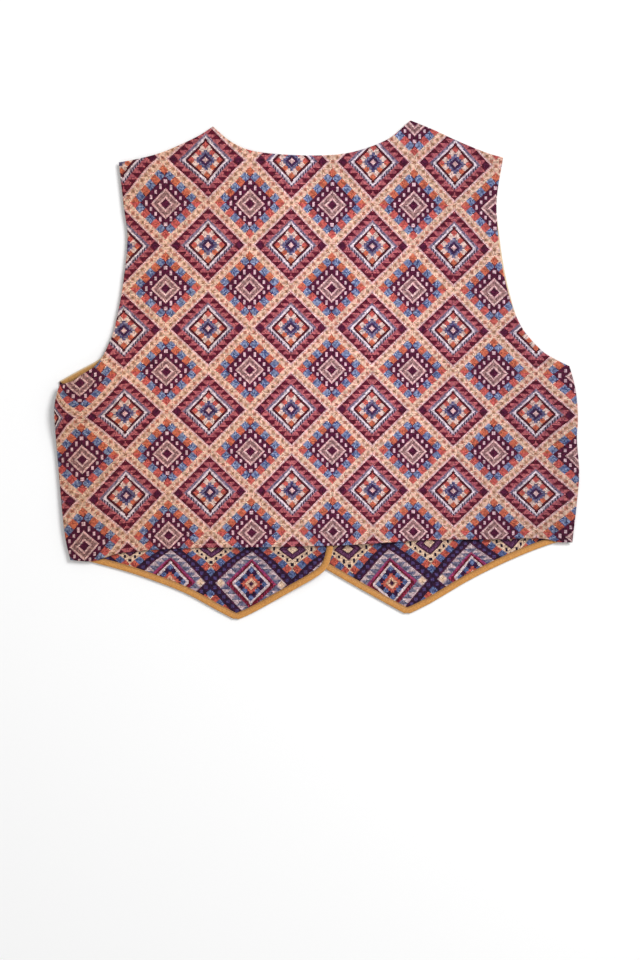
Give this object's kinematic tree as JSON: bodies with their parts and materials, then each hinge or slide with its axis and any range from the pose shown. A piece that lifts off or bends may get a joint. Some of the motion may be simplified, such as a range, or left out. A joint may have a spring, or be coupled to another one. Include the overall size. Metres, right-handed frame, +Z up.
{
  "type": "woven vest laid flat",
  "caption": "Short sleeveless vest of patterned jacquard lying flat with its back up, pointed fronts showing below the hem, edges faced with a golden bias strip.",
  "frame": {"origin": "centre of the vest's outline, on the surface it lies on", "axes": "+X towards the wearer's right side, +Y towards the neck, +Z up, out of the back's right side"},
  "size_m": [0.5115, 0.4876, 0.0115],
  "materials": {
    "woven_face": "multicolour jacquard weave, right side, matt",
    "woven_reverse": "multicolour jacquard weave, wrong side, matt",
    "facing": "plain golden cotton sateen cut on the bias, low sheen"
  },
  "bodies": {
    "root": {"back_panel": "woven_face", "front_left": "woven_reverse", "front_right": "woven_reverse", "edge_facing_left": "facing", "edge_facing_right": "facing", "armhole_facing_left": "facing", "armhole_facing_right": "facing"}
  },
  "joints": []
}
